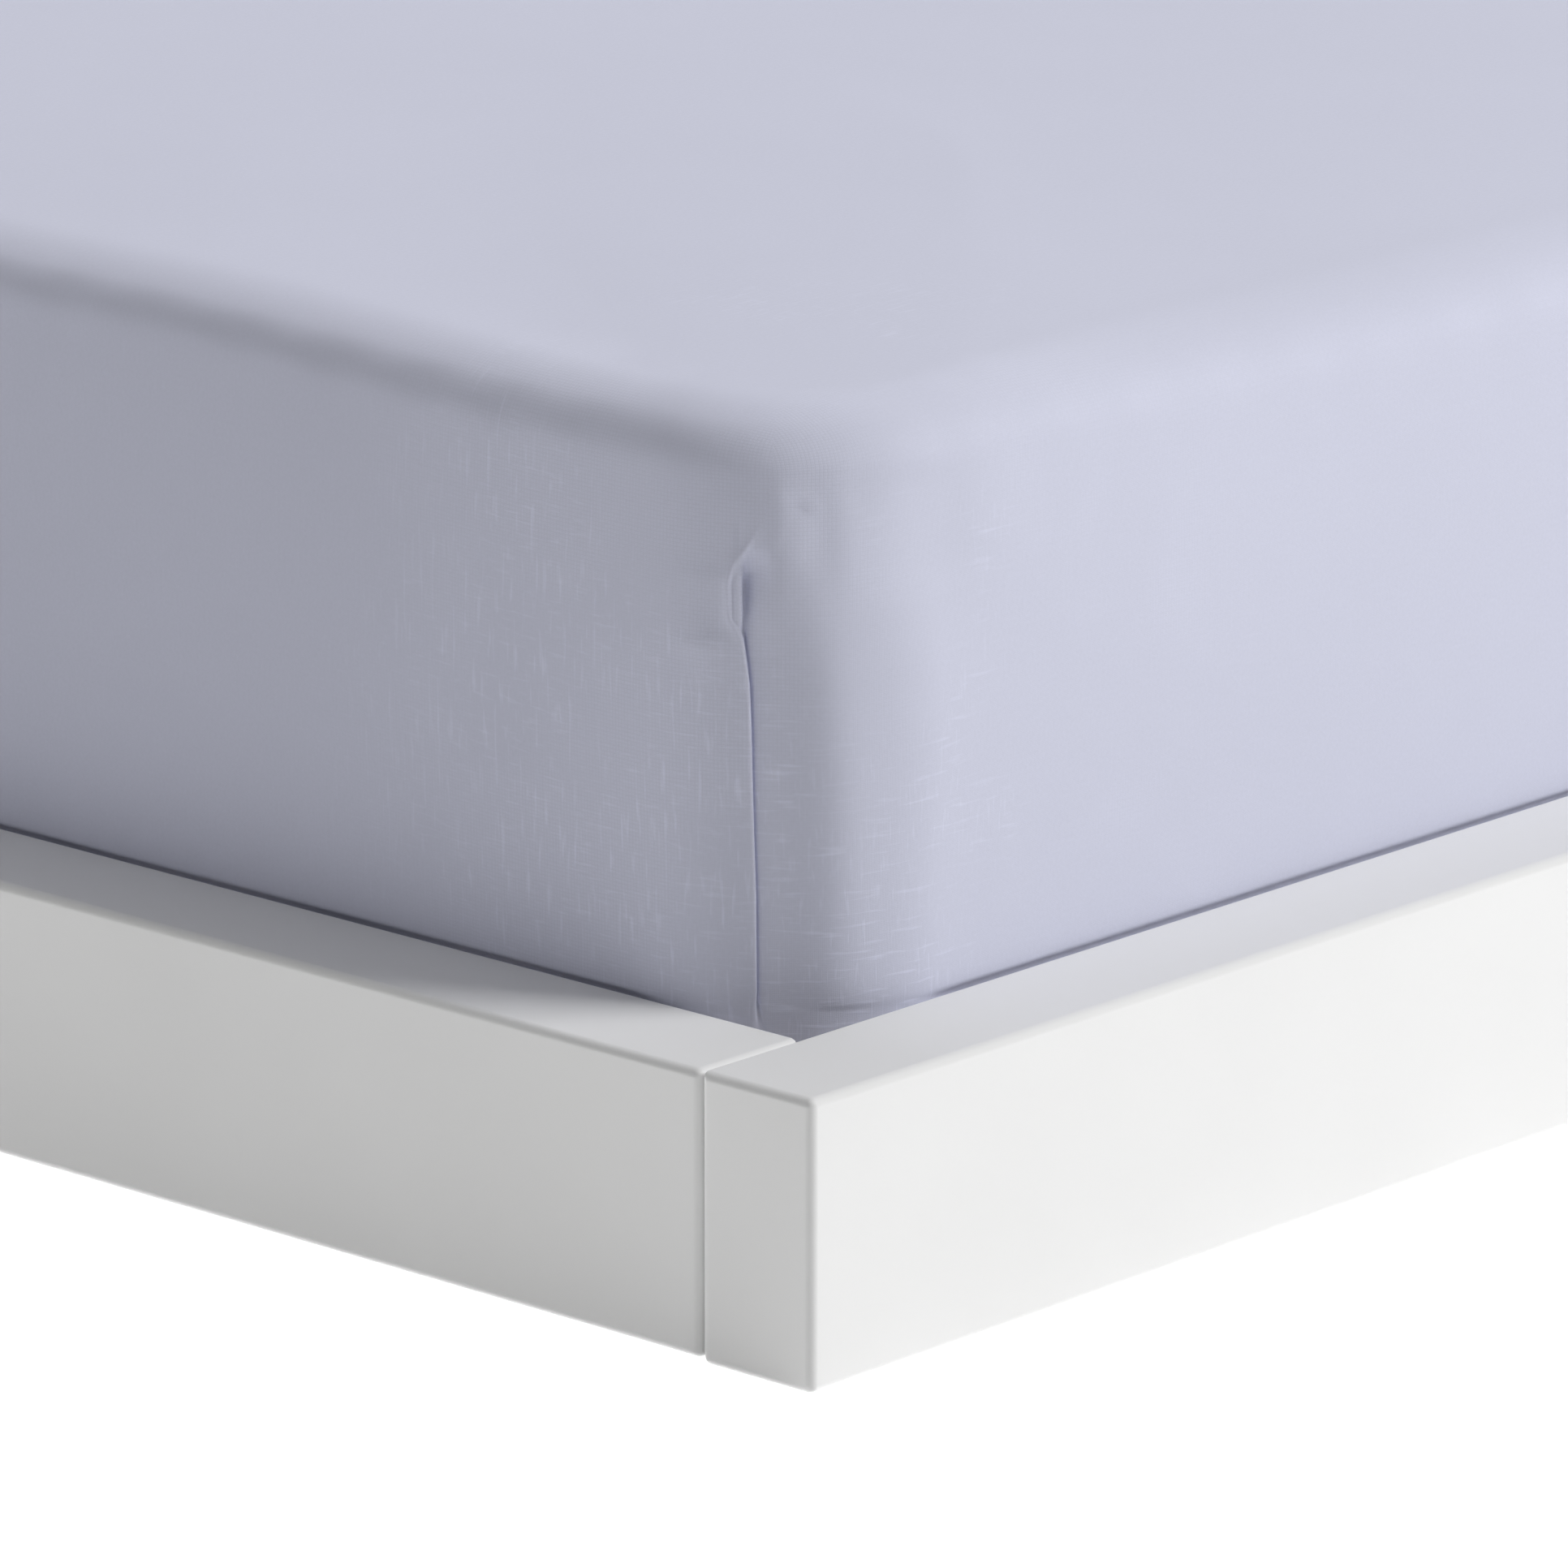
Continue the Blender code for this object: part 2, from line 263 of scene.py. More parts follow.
# Small puckers and hollows round the dart, and the bends of the corner beside it: how far each
# stands out, its half width and a path of (arc, above), all in mm.
Crease = namedtuple("Crease", "height width path")
CREASES = (
    Crease(-0.30, 1.6, ((38.0, 186.0), (38.5, 178.0), (39.0, 172.0))),
    Crease(0.34, 3.6, ((51.0, 156.0), (52.0, 170.0), (53.5, 186.0), (52.5, 196.0))),
    Crease(0.30, 3.0, ((57.0, 168.0), (59.5, 176.0), (61.0, 184.0))),
    Crease(-0.22, 4.6, ((65.0, 194.0), (67.0, 178.0), (66.0, 164.0))),
    Crease(0.45, 5.5, ((74.0, 200.0), (76.0, 178.0), (77.0, 160.0))),
    Crease(2.00, 16.0, ((50.0, 196.0), (51.0, 178.0), (52.0, 158.0))),
    Crease(-2.60, 22.0, ((110.0, 200.0), (111.0, 175.0), (114.0, 150.0))),
    Crease(-1.40, 4.0, ((46.0, 169.0), (46.0, 161.0))),
    Crease(0.80, 1.4, ((62.8, 189.3), (65.4, 188.6))),
    Crease(-0.50, 1.3, ((61.0, 189.0), (61.3, 186.0))),
    Crease(0.35, 1.5, ((52.3, 163.0), (52.6, 156.0), (52.0, 150.0))),
    Crease(0.35, 2.1, ((58.0, 138.0), (58.5, 126.0))),
    Crease(0.30, 1.1, ((29.0, 140.0), (30.5, 133.0), (31.5, 122.0))),
    Crease(1.60, 8.0, ((24.0, 140.0), (25.0, 132.0))),
    Crease(0.35, 4.0, ((12.0, 120.0), (15.0, 104.0))),
    Crease(0.30, 1.2, ((65.5, 141.0), (66.5, 136.0))),
    Crease(1.30, 12.0, ((68.0, 150.0), (71.0, 118.0), (74.0, 80.0), (75.0, 10.0))),
    Crease(-1.10, 11.0, ((52.0, 130.0), (54.0, 100.0), (56.0, 60.0), (56.0, 10.0))),
)
CREASE_REACH = 3.2  # in half widths
CREASE_ENDS = ((-0.3, 0.25), (0.75, 1.3))  # shares of its path over which it comes and goes
CREASED_ARCS = (-20.0, 60.0)  # from the corner's first and last arc
CREASED_LEVELS = (0.0, 222.0)

# The slight unevenness of stretched cloth: height in mm, scale and shift of each noise.
UNEVENNESS = ((0.30, 9.0, (3.1, 7.7, 0.4)), (0.10, 31.0, (9.2, 1.3, 5.5)))

# Scallops along the top edge, where the stitches and the stretch pull the cloth.
SCALLOP_HEIGHT = {"side": 0.75, "end": 0.35}  # in mm
SCALLOP_LENGTH = 0.047
SCALLOP_WANDER, WANDER_SCALE = 0.35, 6.0
SCALLOP_SWELL, SWELL_SCALE = 0.6, 11.0
SCALLOP_TILT, TILT_REACH = 1.15, 0.38  # the tilt where they are deepest, in radians
SCALLOP_FADE = (0.065, 0.035)  # how far below the top they begin and are full
SCALLOP_START = 0.02  # share of a face's run, from its corners

# Spacing of the mesh.
BEFORE_LAP, AFTER_LAP = 9, 18
NEAR_PITCH, FAR_PITCH, NEAR_REACH, END_NEAR_SHARE = 0.006, 0.012, 0.46, 0.85
TOP_STEPS = (0.372, 0.335, 0.290, 0.240, 0.190, 0.145, 0.105, 0.072, 0.046, 0.026, 0.011)
SHOULDER_STEPS, LOWER_STEPS = 15, 4
# Rows of points in a corner, from (top, bottom) above the rails, at this pitch, in mm.
SIDE_LEVELS = (
    (196.0, 181.0, 2.5), (181.0, 154.0, 1.5), (154.0, 120.0, 2.4), (120.0, 6.0, 4.75),
    (6.0, -12.0, 0.9), (-12.0, -16.5, 4.5),
)
HEM_SHARES = (0.0, 0.35, 0.7, 0.9, 1.0)

# The form away from the dart.
TUCK_FADE = 0.012  # how far to either side of a corner's ends the tuck comes and goes
TUCK_DEPTHS = (-0.0008, 0.0028)  # how far below the rails' edge it begins and is full
SWELL_RISE = 1.5  # over 1, the faces swell more above half height than below it
ROLL_TILT, END_ROLL_TILT = math.radians(30.0), math.radians(16.0)
ROLL_SHARE = 0.4  # of the shoulder's steps
# How far from the corner the faces' shoulders and edges have begun to reach their own form, and
# have reached it.
SHOULDER_GROWTH = (0.0, 0.25)
RISE_GROWTH = (0.03, 0.27)
TURN_BACK, TURN_HEIGHT = 0.015, 0.0014  # the hem's turned-back edge
TOP_RADIUS_GROWTH, TOP_RADIUS_SHARE = 0.35, 0.6

QUARTER = math.pi / 2
ALONG = {"end": 0, "side": 1}  # the axis that a panel runs along; it faces along the other
Corner = namedtuple("Corner", "x_side y_side from_side_face")
CORNERS = (Corner(-1, -1, True), Corner(1, -1, False), Corner(1, 1, True), Corner(-1, 1, False))


class Shoulder(namedtuple("Shoulder", "edge roll tilt")):
    """Two arcs over the top edge: a wide roll from the top down to this tilt, then a tight edge."""

    @property
    def width(self):
        return self.edge + (self.roll - self.edge) * math.sin(self.tilt)

    @property
    def depth(self):
        return self.roll + (self.edge - self.roll) * math.cos(self.tilt)

    @property
    def length(self):
        return self.roll * self.tilt + self.edge * (QUARTER - self.tilt)

    def at(self, share):
        """(inset, fall below the top, tilt, drop) at this share of the way over."""
        if share < ROLL_SHARE:
            tilt = self.tilt * share / ROLL_SHARE
            return (
                self.width - self.roll * math.sin(tilt),
                self.roll * (1.0 - math.cos(tilt)),
                tilt,
                self.roll * tilt,
            )
        tilt = mix(self.tilt, QUARTER, (share - ROLL_SHARE) / (1.0 - ROLL_SHARE))
        return (
            self.edge * (1.0 - math.sin(tilt)),
            self.depth - self.edge * math.cos(tilt),
            tilt,
            self.roll * self.tilt + self.edge * (tilt - self.tilt),
        )

    def towards(self, other, share):
        return Shoulder(*(mix(own, others, share) for own, others in zip(self, other)))


# A ring of points round the sheet: the part of the form that it lies on, and where in that part.
Ring = namedtuple("Ring", "part value")
# A column of points from the top to the hem. Its corner is its own one or the one before its
# straight face; then come its kind, its place among that kind, and the panel that it belongs to.
Station = namedtuple("Station", "corner kind value panel")
LEVEL_PARTS = ("top", "hem", "turn", "back")  # the dart doesn't reach these
UNDER_PARTS = ("lower", "hem", "turn", "back")


def divided(parts):
    """Values through each part, from its start up to its end, about its pitch apart."""
    values = []
    for start, end, pitch in parts:
        count = max(1, round(abs(end - start) / pitch))
        values += [mix(start, end, step / count) for step in range(count)]
    return values


class SheetForm:
    """Where each point of the stretched sheet lies, from its sizes."""

    def __init__(self, sizes):
        self.half = (sizes.width / 2, sizes.length / 2)
        self.top = sizes.top
        self.bottom = sizes.underside
        self.radius = sizes.corner_radius
        self.lower = sizes.lower_radius
        self.crown = sizes.crown
        self.rise = {"side": sizes.side_rise, "end": -sizes.end_fall}
        self.bulge = sizes.bulge
        self.tuck = sizes.tuck
        self.hem = sizes.hem_width
        self.corner_shoulder = Shoulder(sizes.corner_edge, sizes.corner_roll, ROLL_TILT)
        self.panel_shoulder = {
            "side": Shoulder(sizes.side_edge, sizes.side_roll, ROLL_TILT),
            "end": Shoulder(sizes.end_edge, sizes.end_roll, END_ROLL_TILT),
        }
        self.arc = self.radius * QUARTER / MM
        self.lap_shapes = [
            row._replace(shape=curve_through(row.shape, LAP_STEPS)) for row in LAP_ROWS
        ]
        self.lap_count = LAP_LAST * LAP_STEPS + 1

    def rings(self):
        """From the middle of the top to the hem's turned-back edge."""
        rings = [Ring("top", step) for step in TOP_STEPS]
        rings += [Ring("shoulder", step / SHOULDER_STEPS) for step in range(SHOULDER_STEPS)]
        highest = (self.top - RAIL_TOP - self.corner_shoulder.depth) / MM
        lowest = (self.bottom + self.lower - RAIL_TOP) / MM
        for level in divided(SIDE_LEVELS):
            rings.append(Ring("side", (level - lowest) / (highest - lowest)))
        rings += [Ring("lower", step / LOWER_STEPS) for step in range(LOWER_STEPS)]
        rings += [Ring("hem", share) for share in HEM_SHARES]
        return rings + [Ring("turn", 0.5), Ring("turn", 1.0), Ring("back", 1.0)]

    def stations(self):
        """Round the whole sheet, anticlockwise seen from above, from the foot's left corner."""
        stations = []
        middle = self.lap_count // 2
        for index, corner in enumerate(CORNERS):
            own = [Station(index, "before", k / BEFORE_LAP, "side") for k in range(BEFORE_LAP)]
            own += [
                Station(index, "lap", k, "side" if k < middle else "end")
                for k in range(self.lap_count)
            ]
            own += [Station(index, "after", (k + 1) / AFTER_LAP, "end") for k in range(AFTER_LAP)]
            if not corner.from_side_face:
                own.reverse()
            panel = "end" if corner.from_side_face else "side"
            run = 2 * (self.half[ALONG[panel]] - self.radius)
            own += [
                Station(index, "straight", share, panel)
                for share in self.straight_shares(run, panel, index == 0, index == 3)
            ]
            stations += own
        return stations

    def straight_shares(self, run, panel, near_start, near_end):
        """Places along a straight face, closer together beside the corner that is seen best."""
        near = NEAR_REACH if panel == "side" else NEAR_REACH * END_NEAR_SHARE
        parts = [(0.0, run, FAR_PITCH)]
        if near_start:
            parts = [(0.0, near, NEAR_PITCH), (near, run, FAR_PITCH)]
        elif near_end:
            parts = [(0.0, run - near, FAR_PITCH), (run - near, run, NEAR_PITCH)]
        return [place / run for place in divided(parts)[1:]]

    def lap_at(self, index, above):
        """(distance past the folded edge, height above the plain corner) of a lap station."""
        upper, lower, share = between_rows(self.lap_shapes, above)
        first, second = upper.shape[index], lower.shape[index]
        return (
            mix(first[0], second[0], share),
            mix(first[1] * upper.relief, second[1] * lower.relief, share),
        )

    def round_corner(self, station, above):
        """(arc, relief) of a corner station, both in mm."""
        upper, lower, share = between_rows(DART_LINE, above)
        edge = mix(upper[1], lower[1], share)
        if station.kind == "lap":
            past, relief = self.lap_at(int(station.value), above)
            return edge + past, relief
        if station.kind == "before":
            arc = (edge - LAP_REACH) * station.value
            fade = 1.0 - smooth(edge - LAP_REACH - arc, 0.0, BEFORE_FADE)
            return arc, self.lap_at(0, above)[1] * fade
        arc = mix(edge + LAP_REACH, self.arc, station.value)
        fade = max(0.0, 1.0 - (arc - edge - LAP_REACH) / AFTER_FADE) ** 2
        return arc, self.lap_at(self.lap_count - 1, above)[1] * fade

    def from_corner(self, station):
        """How far along a straight face a station lies from the nearer corner: 0 in a corner."""
        if station.kind != "straight":
            return 0.0
        half = self.half[ALONG[station.panel]]
        return min(station.value, 1.0 - station.value) * 2 * (half - self.radius)

    def shoulder_at(self, station):
        """The two arcs over the top edge: along the faces, they grow away from the corners."""
        grown = smooth(self.from_corner(station), *SHOULDER_GROWTH)
        return self.corner_shoulder.towards(self.panel_shoulder[station.panel], grown)

    def rise_at(self, station):
        """How far the edge stands above the corners' edge."""
        return self.rise[station.panel] * smooth(self.from_corner(station), *RISE_GROWTH)

    def tuck_at(self, station):
        """How far the cloth draws in below the rails' edge: not at all in the round corners."""
        past = self.from_corner(station)
        if station.kind != "straight":
            arc, _ = self.round_corner(station, 0.0)
            past = -min(arc, self.arc - arc) * MM
        return self.tuck * smooth(past, -TUCK_FADE, TUCK_FADE)

    def section(self, ring, station, shoulder):
        """(inset, height, tilt, drop) of a ring: tilt is 0 on top and a quarter turn on the faces,
        and drop is the distance down over the cloth from where the shoulder begins."""
        rise, tuck = self.rise_at(station), self.tuck_at(station)
        edge_top = self.top + rise
        side_top = edge_top - shoulder.depth
        side_bottom = self.bottom + self.lower
        if ring.part == "top":
            inset = shoulder.width + ring.value
            share = min(1.0, ring.value / (self.half[0] - shoulder.width))
            climb = (self.crown - rise) * (1.0 - (1.0 - share) ** 2)
            return inset, edge_top + climb, 0.0, -ring.value
        if ring.part == "shoulder":
            inset, fall, tilt, drop = shoulder.at(ring.value)
            return inset, edge_top - fall, tilt, drop
        if ring.part == "side":
            height = mix(side_bottom, side_top, ring.value)
            share = min(1.0, max(0.0, ring.value))
            swell = self.bulge * math.sin(math.pi * share**SWELL_RISE)
            tucked = tuck * smooth(RAIL_TOP - height, *TUCK_DEPTHS)
            return tucked - swell, height, QUARTER, shoulder.length + side_top - height
        down = shoulder.length + side_top - side_bottom
        if ring.part == "lower":
            tilt = QUARTER * (1.0 + ring.value)
            turn = tilt - QUARTER
            return (
                tuck + self.lower * (1.0 - math.cos(turn)),
                side_bottom - self.lower * math.sin(turn),
                tilt,
                down + self.lower * turn,
            )
        down += self.lower * QUARTER
        if ring.part == "hem":
            inset = mix(tuck + self.lower, self.hem, ring.value)
            return inset, self.bottom, math.pi, down + inset - tuck - self.lower
        down += self.hem - self.lower
        if ring.part == "turn":
            turn = math.pi * ring.value
            bend = TURN_HEIGHT / 2
            return (
                self.hem + bend * math.sin(turn),
                self.bottom + bend * (1.0 - math.cos(turn)),
                math.pi,
                down + bend * turn,
            )
        return self.hem - TURN_BACK, self.bottom + TURN_HEIGHT, math.pi, down + TURN_BACK

    def radius_at(self, ring, inset, shoulder):
        """The upright corner's radius at this inset."""
        if ring.part == "top":
            grown = self.radius - shoulder.width + TOP_RADIUS_GROWTH * ring.value
            return min(grown, TOP_RADIUS_SHARE * (self.half[0] - inset))
        return max(self.radius - inset, self.lower)

    def place(self, ring, station):
        """(point, flat position of the cloth) of one point of the sheet."""
        shoulder = self.shoulder_at(station)
        inset, height, tilt, drop = self.section(ring, station, shoulder)
        radius = self.radius_at(ring, inset, shoulder)
        above = (height - RAIL_TOP) / MM
        middle = [half - inset - radius for half in self.half]
        signs = CORNERS[station.corner][:2]
        if station.kind == "straight":
            along = ALONG[station.panel]
            facing = 1 - along
            after = CORNERS[(station.corner + 1) % 4]
            run = mix(signs[along] * middle[along], after[along] * middle[along], station.value)
            nearest = min(middle[along] - run, middle[along] + run) / MM
            arc = self.arc + nearest if station.panel == "end" else -nearest
            relief = 0.0
            outward = Vector((0.0, 0.0, 0.0))
            outward[facing] = signs[facing]
            point = Vector((run, run, height))
            point[facing] = signs[facing] * (middle[facing] + radius)
            flat = [run, run]
            flat[facing] = signs[facing] * (self.half[facing] - shoulder.width + drop)
        else:
            arc, relief = self.round_corner(station, above)
            if ring.part in LEVEL_PARTS:
                relief = 0.0
            turn = arc * MM / self.radius
            outward = Vector((signs[0] * math.cos(turn), signs[1] * math.sin(turn), 0.0))
            point = Vector((signs[0] * middle[0], signs[1] * middle[1], height))
            point += outward * radius
            flat = self.flat_corner(ring, station, turn, drop, shoulder, tilt)
        normal = outward * math.sin(tilt) + Vector((0.0, 0.0, math.cos(tilt)))
        relief += self.pucker(arc, above)
        relief += self.unevenness(point, ring, station, tilt)
        return point + normal * (relief * MM), flat

    def flat_corner(self, ring, station, turn, drop, shoulder, tilt):
        """Where a corner point lay on the flat cloth: round with the top, straight with a panel."""
        inset, radius = shoulder.width, self.radius - shoulder.width
        if ring.part == "top":
            inset += ring.value
            radius = self.radius_at(ring, inset, shoulder)
        over = max(0.0, drop)
        rays = (math.cos(turn), math.sin(turn))
        with_top = [
            half - inset - radius + (radius + over) * ray for half, ray in zip(self.half, rays)
        ]
        along = ALONG[station.panel]
        from_end = turn if station.panel == "side" else QUARTER - turn
        with_panel = [half - shoulder.width + over for half in self.half]
        with_panel[along] = self.half[along] - self.radius + from_end * self.radius
        share = min(1.0, tilt / QUARTER)
        signs = CORNERS[station.corner][:2]
        return [sign * mix(*pair, share) for sign, *pair in zip(signs, with_top, with_panel)]

    def pucker(self, arc, above):
        """How far the creases beside the dart lift the cloth, in mm."""
        first, last = CREASED_ARCS
        low, high = CREASED_LEVELS
        coming, going = CREASE_ENDS
        if not first < arc < self.arc + last or not low < above < high:
            return 0.0
        height = 0.0
        for crease in CREASES:
            away, share = distance_to_path((arc, above), crease.path)
            if away < CREASE_REACH * crease.width:
                ends = smooth(share, *coming) * (1.0 - smooth(share, *going))
                height += crease.height * ends * math.exp(-((away / crease.width) ** 2))
        return height

    def unevenness(self, point, ring, station, tilt):
        """The slight unevenness of stretched cloth, in mm, with the scallops of its edges."""
        if ring.part in UNDER_PARTS:
            return 0.0
        height = sum(
            size * noise.noise(point * scale + Vector(shift)) for size, scale, shift in UNEVENNESS
        )
        if station.kind == "straight" and tilt > 0.0:
            height += self.scallop(point, ring, station, tilt)
        return height

    def scallop(self, point, ring, station, tilt):
        """The shallow waves along the top edge, in mm."""
        along = point[ALONG[station.panel]]
        wander = SCALLOP_WANDER * noise.noise(Vector((along * WANDER_SCALE, 2.0, 0.0)))
        wave = math.sin(math.tau * (along / SCALLOP_LENGTH + wander))
        swell = noise.noise(Vector((along * SWELL_SCALE, 8.0, 0.0)))
        swell = SCALLOP_SWELL + SCALLOP_SWELL * swell
        over = math.exp(-(((tilt - SCALLOP_TILT) / TILT_REACH) ** 2))
        if ring.part == "side":
            begins, full = (self.top - depth for depth in SCALLOP_FADE)
            over *= smooth(point.z, begins, full)
        away = smooth(min(station.value, 1.0 - station.value), 0.0, SCALLOP_START)
        return SCALLOP_HEIGHT[station.panel] * wave * swell * over * away


def add_mesh(name, points, faces, material, flats=None, face_panels=None):
    """A mesh object at the origin, with the cloth's flat position as its UV map."""
    mesh = bpy.data.meshes.new(name)
    mesh.from_pydata(points, [], faces)
    if flats:
        layer = mesh.uv_layers.new(name="cloth")
        for polygon, panel in zip(mesh.polygons, face_panels):
            for loop in polygon.loop_indices:
                layer.data[loop].uv = flats[mesh.loops[loop].vertex_index][panel]
    mesh.materials.append(material)
    piece = bpy.data.objects.new(name, mesh)
    bpy.context.scene.collection.objects.link(piece)
    mesh.shade_smooth()
    return piece


def ring_faces(rings, count):
    """Quads between closed rings of count points each, and the matching station of each quad."""
    faces, owners = [], []
    for ring in range(rings - 1):
        for index in range(count):
            beside = (index + 1) % count
            first, second = ring * count, (ring + 1) * count
            faces.append((first + index, second + index, second + beside, first + beside))
            owners.append(index)
    return faces, owners


# --- Materials ---


class Board:
    """Adds nodes to one node tree and joins them."""

    def __init__(self, tree):
        self.tree = tree
        self.column = 0

    def node(self, kind, sockets=(), **settings):
        """A node with its settings, and with values or links for its sockets, by place or name."""
        made = self.tree.nodes.new(kind)
        made.location = (self.column * 190 - 2600, -(self.column % 5) * 170)
        self.column += 1
        for key, value in settings.items():
            setattr(made, key, value)
        if not isinstance(sockets, dict):
            sockets = dict(enumerate(sockets))
        for key, value in sockets.items():
            self.feed(value, made.inputs[key])
        return made

    def feed(self, source, socket):
        if isinstance(source, bpy.types.NodeSocket):
            self.tree.links.new(source, socket)
        else:
            socket.default_value = source

    def place(self):
        """The place on the piece, in metres."""
        return self.node("ShaderNodeTexCoord").outputs["Object"]

    def split(self, vector):
        return self.node("ShaderNodeSeparateXYZ", (vector,)).outputs

    def maths(self, operation, *terms, clamp=False):
        return self.node("ShaderNodeMath", terms, operation=operation, use_clamp=clamp).outputs[0]

    def times(self, first, second):
        return self.maths("MULTIPLY", first, second)

    def line(self, value, slope, base, clamp=False):
        """value × slope + base"""
        return self.maths("MULTIPLY_ADD", value, slope, base, clamp=clamp)

    def sway(self, value, middle, slope, base, clamp=False):
        """(value − middle) × slope + base"""
        return self.line(self.maths("SUBTRACT", value, middle), slope, base, clamp)

    def humps(self, value, factor):
        """Round humps side by side, sharp between them: |sin(value × factor)|"""
        return self.maths("ABSOLUTE", self.maths("SINE", self.times(value, factor)))

    def vector(self, operation, *terms, output=0):
        return self.node("ShaderNodeVectorMath", terms, operation=operation).outputs[output]

    def noise(self, position, scale, detail=2.0, roughness=0.5):
        sockets = {"Vector": position, "Scale": scale, "Detail": detail, "Roughness": roughness}
        return self.node("ShaderNodeTexNoise", sockets).outputs["Fac"]

    def span(self, *terms):
        """A value's smooth way from low to high, as 0 to 1 unless two more terms say otherwise."""
        made = self.node("ShaderNodeMapRange", terms, interpolation_type="SMOOTHSTEP")
        return made.outputs["Result"]

    def blend(self, share, first, second):
        sockets = {"Factor": share, 6: first, 7: second}
        return self.node("ShaderNodeMix", sockets, data_type="RGBA").outputs[2]

    def group(self, tree, **values):
        sockets = {key.capitalize(): value for key, value in values.items()}
        return self.node("ShaderNodeGroup", sockets, node_tree=tree).outputs

    def bump(self, height, distance, strength, below=None):
        """A normal from a height, on top of another bump's normal if there is one below."""
        sockets = {"Strength": strength, "Distance": distance, "Height": height}
        if below is not None:
            sockets["Normal"] = below
        return self.node("ShaderNodeBump", sockets).outputs[0]


def new_group(name, inputs, outputs):
    """An empty shader node group, its board, its incoming sockets and its output node."""
    tree = bpy.data.node_groups.new(name, "ShaderNodeTree")
    for title, kind in inputs:
        tree.interface.new_socket(title, in_out="INPUT", socket_type=kind)
    for title, kind in outputs:
        tree.interface.new_socket(title, in_out="OUTPUT", socket_type=kind)
    board = Board(tree)
    arriving = board.node("NodeGroupInput")
    leaving = tree.nodes.new("NodeGroupOutput")
    leaving.location = (1400, 0)
    return tree, board, arriving.outputs, leaving.inputs


def new_material(name):
    """A material with its board and its Principled shader."""
    material = bpy.data.materials.new(name)
    material.use_nodes = True
    shader = material.node_tree.nodes["Principled BSDF"]
    shader.location = (1600, 0)
    material.node_tree.nodes["Material Output"].location = (1900, 0)
    return material, Board(material.node_tree), shader


def dress(board, shader, colour, roughness, normal):
    """Joins what a material has made to its shader."""
    sources = {"Base Color": colour, "Roughness": roughness, "Normal": normal}
    for name, source in sources.items():
        board.feed(source, shader.inputs[name])


def weave_group():
    """Plain weave: warp over weft and weft over warp by turns, with uneven yarns."""
    if "plain_weave" in bpy.data.node_groups:
        return bpy.data.node_groups["plain_weave"]
    tree, board, arriving, leaving = new_group(
        "plain_weave",
        (("Position", "NodeSocketVector"), ("Pitch", "NodeSocketFloat")),
        (("Height", "NodeSocketFloat"), ("Slub", "NodeSocketFloat")),
    )
    across, along = (
        board.maths("DIVIDE", part, arriving["Pitch"])
        for part in board.split(arriving["Position"])[:2]
    )
    round_warp, round_weft = (board.humps(part, math.pi) for part in (across, along))
    cell = board.maths("ADD", board.maths("FLOOR", across), board.maths("FLOOR", along))
    turn = board.maths("PINGPONG", cell, 1.0)
    warp = board.times(round_warp, board.line(round_weft, 0.5, 0.5))
    weft = board.times(round_weft, board.line(round_warp, 0.5, 0.5))
    over = board.times(warp, turn)
    under = board.times(weft, board.maths("SUBTRACT", 1.0, turn))
    board.feed(board.maths("ADD", over, under), leaving["Height"])
    slubs = []
    for stretch, scale in (((1.0, 0.13, 1.0), 640.0), ((0.12, 1.0, 1.0), 480.0)):
        stretched = board.vector("MULTIPLY", arriving["Position"], stretch)
        slubs.append(board.span(board.noise(stretched, scale, 1.0), 0.55, 0.76))
    board.feed(board.line(slubs[0], 0.60, slubs[1]), leaving["Slub"])
    return tree


# The patches where slubs show and where a coarser texture shows: each noise's shift and scale, and
# where the patch begins and is full.
LOOSE_PLACES = (
    ((0.685, 0.355, 1.15), 7.0, 0.48, 0.60),
    ((0.411, 0.213, 0.69), 9.5, 0.46, 0.62),
)
CORNER_REACH = (0.11, 0.27)  # from a corner: up to here they are full, and from here weak
LEFT_SHARE = 0.06  # of the patches' strength, far from the corners
COARSE_PITCH = 3.1  # in yarns
TICKING_PITCH, STRIPE_PITCH, QUILT_PITCH = 0.0008, 0.024, 0.16
ALONG_GRAIN, ACROSS_GRAIN = 0.9, 16.0  # scale of the wood's pattern


def near_corners(board, place, sizes):
    """1 beside the darts, where the cloth is slack enough for its yarns to show, and 0 far off."""
    folded = board.vector("ABSOLUTE", place)
    away = board.vector("SUBTRACT", folded, (sizes.width / 2, sizes.length / 2, 0.0))
    flat = board.vector("MULTIPLY", away, (1.0, 1.0, 0.0))
    distance = board.vector("LENGTH", flat, output="Value")
    return board.span(distance, *CORNER_REACH, 1.0, 0.0)


